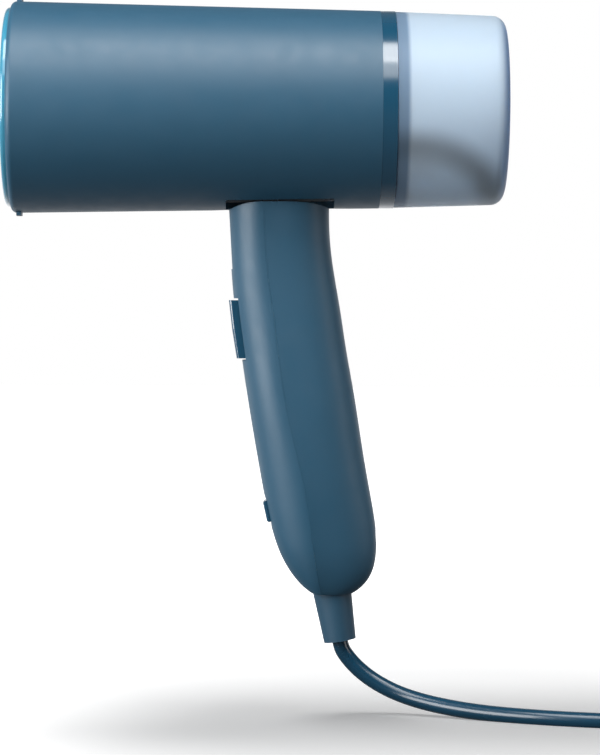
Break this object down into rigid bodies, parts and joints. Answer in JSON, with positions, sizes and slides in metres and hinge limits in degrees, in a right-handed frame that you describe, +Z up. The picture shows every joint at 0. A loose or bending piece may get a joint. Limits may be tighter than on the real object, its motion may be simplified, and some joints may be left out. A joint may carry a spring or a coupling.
{
  "type": "handheld garment steamer",
  "caption": "Handheld steamer: steam barrel with clip-on water tank, folding on an upright grip with trigger, button and mains lead.",
  "frame": {"origin": "middle of the hand grip, where the closed hand holds the handle", "axes": "+Z up along the upright handle, -X towards the steam plate, +X towards the water tank; the object is symmetric about Y = 0 apart from its cord"},
  "size_m": [0.3733, 0.11, 0.2716],
  "materials": {
    "barrel_blue": "satin",
    "bezel_teal": "gloss",
    "dark_teal": "gloss",
    "handle_blue": "satin",
    "tank_clear": "frosted",
    "tank_fittings": "satin",
    "steel": "brushed",
    "aluminium": "cast",
    "seal_rubber": "matte",
    "silicone": "translucent",
    "inner_plastic": "matte",
    "board_green": "satin",
    "brass": "bright",
    "cord_navy": "gloss",
    "relief_blue": "matte",
    "tie_black": "matte"
  },
  "bodies": {
    "handle": {"hinge_pin": "steel", "hinge_bushes": "inner_plastic", "detent_spring": "steel", "handle_front_cover": "handle_blue", "handle_rear_shell": "handle_blue", "handle_screws": "steel", "trigger_pin": "steel", "trigger_spring": "steel", "microswitch": "inner_plastic", "push_switch": "inner_plastic", "circuit_board": "board_green", "terminal_block": "inner_plastic", "inner_lead": "cord_navy", "cord_clamp": "inner_plastic", "clamp_screws": "steel", "strain_relief": "relief_blue", "power_cord_run": "cord_navy", "power_cord_coil": "cord_navy", "cord_tie": "tie_black", "plug_body": "cord_navy", "plug_pins": "brass"},
    "head": {"barrel_shell": "barrel_blue", "front_bezel": "bezel_teal", "steam_plate": "steel", "chamber_seal": "silicone", "steam_chamber": "aluminium", "chamber_cover": "aluminium", "heating_element": "steel", "thermostat": "steel", "thermal_fuse": "steel", "heat_shield": "steel", "pump_body": "inner_plastic", "pump_cradle": "inner_plastic", "outlet_hose": "silicone", "inlet_hose": "silicone", "rear_ring": "dark_teal", "tank_socket": "inner_plastic", "barrel_screws": "steel", "tank_seal": "seal_rubber", "hinge_bracket": "inner_plastic"},
    "pump_core": {"pump_piston": "steel", "pump_spring": "steel"},
    "tank": {"tank_shell": "tank_clear", "tank_front_wall": "tank_fittings", "tank_valve": "tank_fittings"},
    "hose": {"suction_hose": "silicone", "hose_weight": "brass"},
    "cap": {"fill_cap": "tank_fittings", "fill_cap_seal": "seal_rubber"},
    "trigger": {"trigger": "dark_teal"},
    "lever": {"switch_lever": "steel"},
    "button": {"power_button": "dark_teal"}
  },
  "joints": [
    {"name": "head_fold", "type": "hinge", "parent": "handle", "child": "head", "pos_m": [-0.006, 0, 0.0504], "axis": [0, -1, 0], "range_deg": [0, 90]},
    {"name": "pump_stroke", "type": "slide", "parent": "head", "child": "pump_core", "axis": [1, 0, 0], "range_m": [0, 0.002], "stiffness_N_per_m": 500, "springref_m": -0.001},
    {"name": "tank_pull", "type": "slide", "parent": "head", "child": "tank", "axis": [1, 0, 0], "range_m": [0, 0.06]},
    {"name": "hose_swing", "type": "hinge", "parent": "tank", "child": "hose", "pos_m": [0.0499, 0, 0.0915], "axis": [1, 0, 0], "range_deg": [-60, 60]},
    {"name": "cap_turn", "type": "hinge", "parent": "tank", "child": "cap", "pos_m": [0.0385, 0, 0.126], "axis": [1, 0, 0], "range_deg": [0, 90]},
    {"name": "trigger_press", "type": "hinge", "parent": "handle", "child": "trigger", "pos_m": [-0.0175, 0, 0.0416], "axis": [0, -1, 0], "range_deg": [0, 5.5], "stiffness_Nm_per_rad": 0.3, "springref_deg": -5.73},
    {"name": "lever_turn", "type": "hinge", "parent": "handle", "child": "lever", "pos_m": [-0.015, 0, 0.035], "axis": [0, -1, 0], "range_deg": [0, 8.25]},
    {"name": "button_press", "type": "slide", "parent": "handle", "child": "button", "axis": [0.9756, 0, 0.2195], "range_m": [0, 0.0012], "stiffness_N_per_m": 400, "springref_m": -0.002}
  ],
  "couplings": [
    {"joint": "lever_turn", "follows": "trigger_press", "ratio": 1.5}
  ]
}
